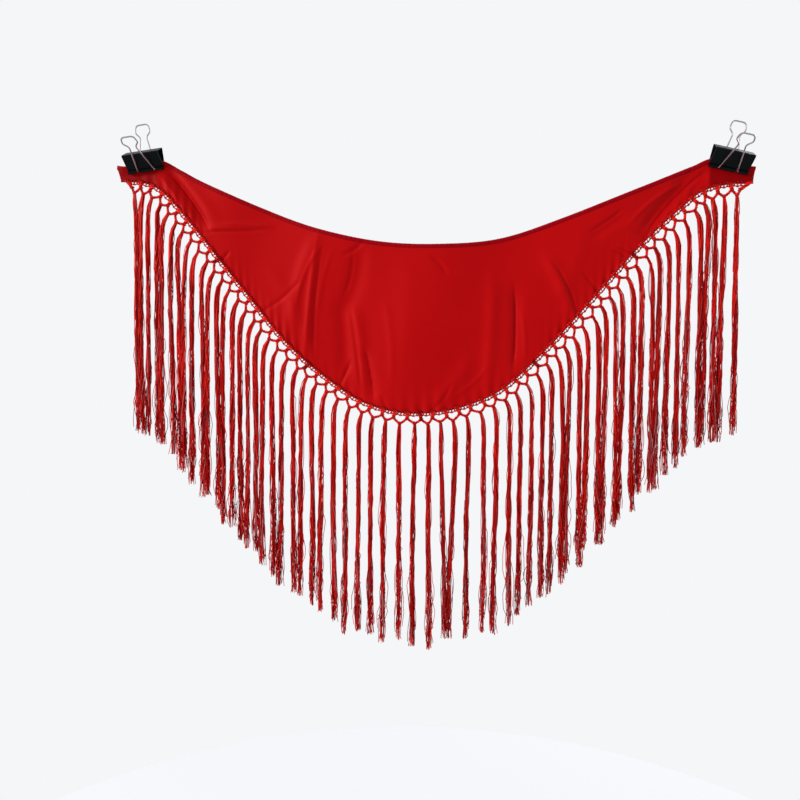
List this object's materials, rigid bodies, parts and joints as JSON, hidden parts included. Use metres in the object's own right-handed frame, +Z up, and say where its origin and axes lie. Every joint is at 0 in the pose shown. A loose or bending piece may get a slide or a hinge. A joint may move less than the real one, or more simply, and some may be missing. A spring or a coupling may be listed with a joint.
{
  "type": "shawl hung by two wire-handled clips",
  "caption": "Crescent fabric shawl with a knotted net edge and long fringe, hung by its two squared ends from sprung clips with wire handles.",
  "frame": {"origin": "inside top of the loop of the left clip's back handle, where a hook bears", "axes": "+X along the hung width from the left clip to the right one, front of the cloth towards -Y, +Z up"},
  "size_m": [0.8591, 0.0658, 0.7222],
  "materials": {
    "cloth": "satin crepe weave",
    "hem": "rolled satin",
    "fringe": "silky yarn",
    "clip": "glossy black",
    "wire": "bright nickel"
  },
  "bodies": {
    "shawl": {"cloth_panel": "cloth", "left_end_fold": "cloth", "right_end_fold": "cloth", "top_hem": "hem", "lower_hem": "hem", "fringe_1": "fringe", "fringe_2": "fringe", "fringe_3": "fringe", "fringe_4": "fringe", "fringe_5": "fringe", "fringe_6": "fringe", "left_clip_body": "clip", "right_clip_body": "clip", "left_clip_back_handle": "wire", "right_clip_back_handle": "wire"},
    "left_front_handle": {"left_clip_front_handle": "wire"},
    "right_front_handle": {"right_clip_front_handle": "wire"}
  },
  "joints": [
    {"name": "left_front_handle_hinge", "type": "hinge", "parent": "shawl", "child": "left_front_handle", "pos_m": [0.00832, -0.0071, -0.06319], "axis": [0.9914, 0, 0.1305], "range_deg": [-11, 105]},
    {"name": "right_front_handle_hinge", "type": "hinge", "parent": "shawl", "child": "right_front_handle", "pos_m": [0.79093, -0.0071, -0.07186], "axis": [0.9724, 0, -0.2334], "range_deg": [-11, 105]}
  ]
}
